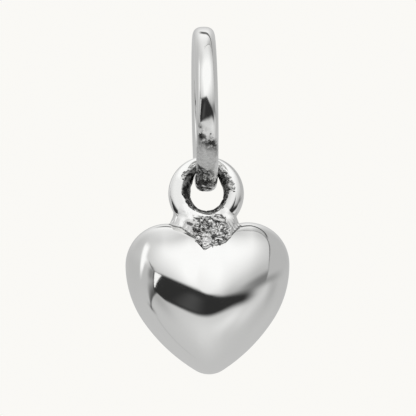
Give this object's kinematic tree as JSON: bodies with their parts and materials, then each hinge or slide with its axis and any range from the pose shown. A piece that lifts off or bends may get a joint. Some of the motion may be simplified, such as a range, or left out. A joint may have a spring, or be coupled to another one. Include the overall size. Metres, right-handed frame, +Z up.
{
  "type": "puffed heart charm on a jump ring",
  "caption": "Small polished white-metal charm: a puffed heart with a soldered ring, hanging on a larger round jump ring.",
  "frame": {"origin": "top of the hole in the jump ring, where a chain bears", "axes": "+Z up along the charm as it hangs, -Y out of the heart's front face, +X to the right of it"},
  "size_m": [0.006, 0.006, 0.0126],
  "materials": {
    "polished_metal": "mirror-polished rhodium-plated silver"
  },
  "bodies": {
    "bail": {"bail_ring": "polished_metal"},
    "pendant": {"heart": "polished_metal"}
  },
  "joints": [
    {"name": "heart_swing", "type": "hinge", "parent": "bail", "child": "pendant", "pos_m": [0, 0, -0.0048], "axis": [0, 1, 0], "range_deg": [-136, 136]}
  ]
}
